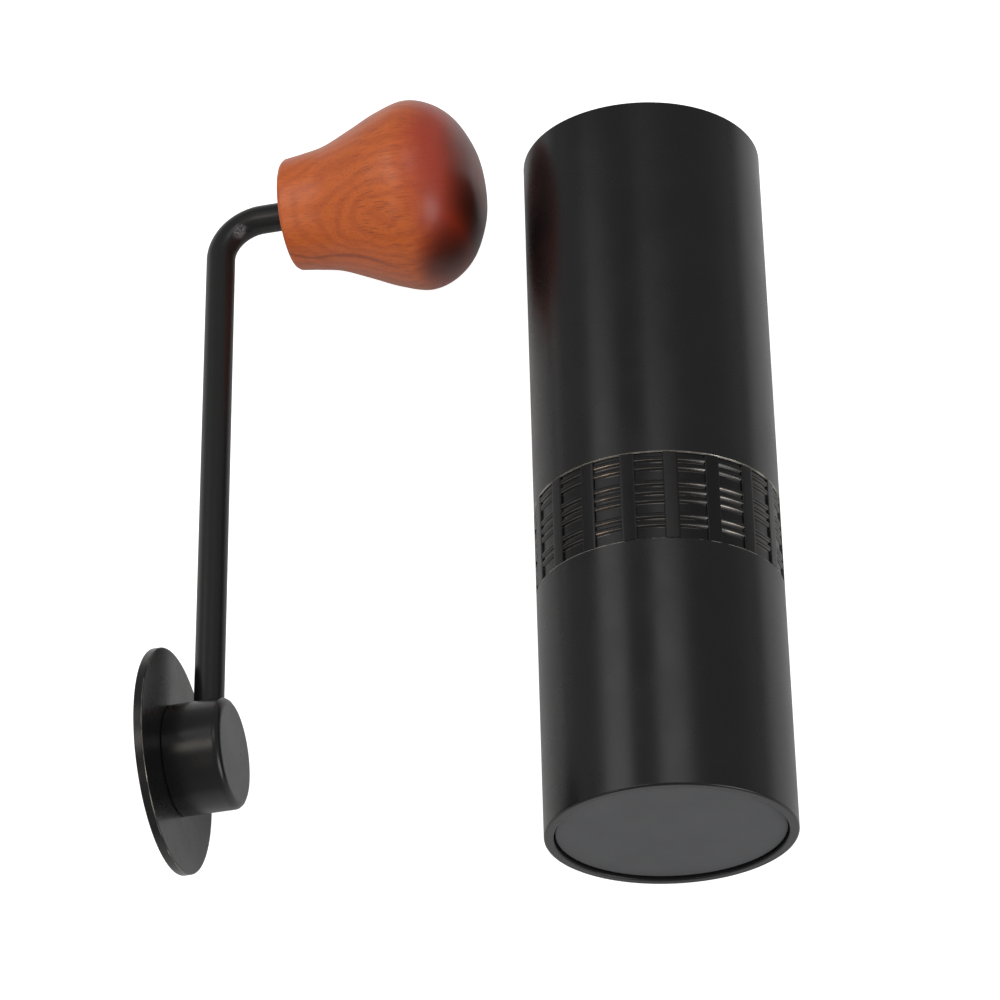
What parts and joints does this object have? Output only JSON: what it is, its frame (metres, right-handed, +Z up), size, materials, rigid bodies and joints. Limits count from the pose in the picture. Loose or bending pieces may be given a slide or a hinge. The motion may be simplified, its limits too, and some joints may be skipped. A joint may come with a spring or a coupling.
{
  "type": "manual coffee grinder",
  "caption": "Hand coffee grinder: slim black cylindrical barrel with a ribbed grip band and lift-out base cup, and a detached lid crank with a bent rod and a turned wooden knob.",
  "frame": {"origin": "on the table, under the middle of the box around the barrel and the crank that lies beside it", "axes": "+Z up from the table, +Y along the barrel from its base to its mouth, +X from the crank towards the barrel"},
  "size_m": [0.1496, 0.2022, 0.058],
  "materials": {
    "black_anodised": "bead blasted and black anodised, satin",
    "band_anodised": "machined relief, black anodised",
    "black_rod": "black coated round steel rod, satin",
    "red_wood": "turned, stained red brown and lacquered",
    "pad_grey": "matte grey silicone pad",
    "burr_steel": "milled hardened steel",
    "bright_steel": "ground stainless steel",
    "white_nylon": "natural nylon",
    "black_rubber": "black silicone rubber"
  },
  "bodies": {
    "barrel": {"barrel_tube": "black_anodised", "grip_band": "band_anodised", "top_bracket": "bright_steel", "bracket_snap_ring": "bright_steel", "top_bearing_outer": "bright_steel", "low_bracket": "bright_steel", "low_bearing_outer": "bright_steel", "outer_burr": "burr_steel", "cup_seal": "black_rubber", "burr_screw_1": "bright_steel", "burr_screw_2": "bright_steel", "burr_screw_3": "bright_steel"},
    "cup": {"catch_cup": "black_anodised", "base_pad": "pad_grey"},
    "drive": {"drive_shaft": "bright_steel", "top_bearing_inner": "bright_steel", "low_bearing_inner": "bright_steel", "shaft_top_clip": "bright_steel", "burr_spring": "bright_steel", "click_carrier": "white_nylon", "click_ball_1": "bright_steel", "click_ball_2": "bright_steel", "dial_clip": "bright_steel"},
    "burr": {"inner_burr": "burr_steel"},
    "dial": {"adjust_dial": "black_anodised", "click_ring": "bright_steel"},
    "lid": {"lid_disc": "black_anodised", "lid_bush": "white_nylon"},
    "crank": {"crank_hub": "black_anodised", "lid_clip": "bright_steel", "crank_arm": "black_rod", "knob_clip": "bright_steel"},
    "knob": {"knob": "red_wood", "knob_sleeve": "white_nylon"}
  },
  "joints": [
    {"name": "cup_draw", "type": "slide", "parent": "barrel", "child": "cup", "axis": [0, -1, 0], "range_m": [0, 0.07]},
    {"name": "crank_swing", "type": "hinge", "parent": "barrel", "child": "lid", "pos_m": [-0.08776, 0.05917, 0.01053], "axis": [0.1509, -0.09, -0.9844], "range_deg": [0, 270.63]},
    {"name": "crank_turn", "type": "hinge", "parent": "lid", "child": "crank", "pos_m": [-0.06645, -0.07481, 0.02604], "axis": [0.9709, 0.019, 0.2385], "continuous": true},
    {"name": "knob_spin", "type": "hinge", "parent": "crank", "child": "knob", "pos_m": [-0.06546, 0.07722, 0.00991], "axis": [0.9708, 0.0068, 0.2398], "continuous": true},
    {"name": "drive_spin", "type": "hinge", "parent": "barrel", "child": "drive", "pos_m": [0.04575, 0, 0.029], "axis": [0, 1, 0], "continuous": true},
    {"name": "dial_turn", "type": "hinge", "parent": "drive", "child": "dial", "pos_m": [0.04575, 0, 0.029], "axis": [0, 1, 0], "range_deg": [-180, 180]},
    {"name": "burr_lift", "type": "slide", "parent": "drive", "child": "burr", "axis": [0, 1, 0], "range_m": [-0.0005, 0.0005]}
  ],
  "couplings": [
    {"joint": "drive_spin", "follows": "crank_turn", "ratio": 1},
    {"joint": "burr_lift", "follows": "dial_turn", "m_per_rad": 0.000159}
  ]
}
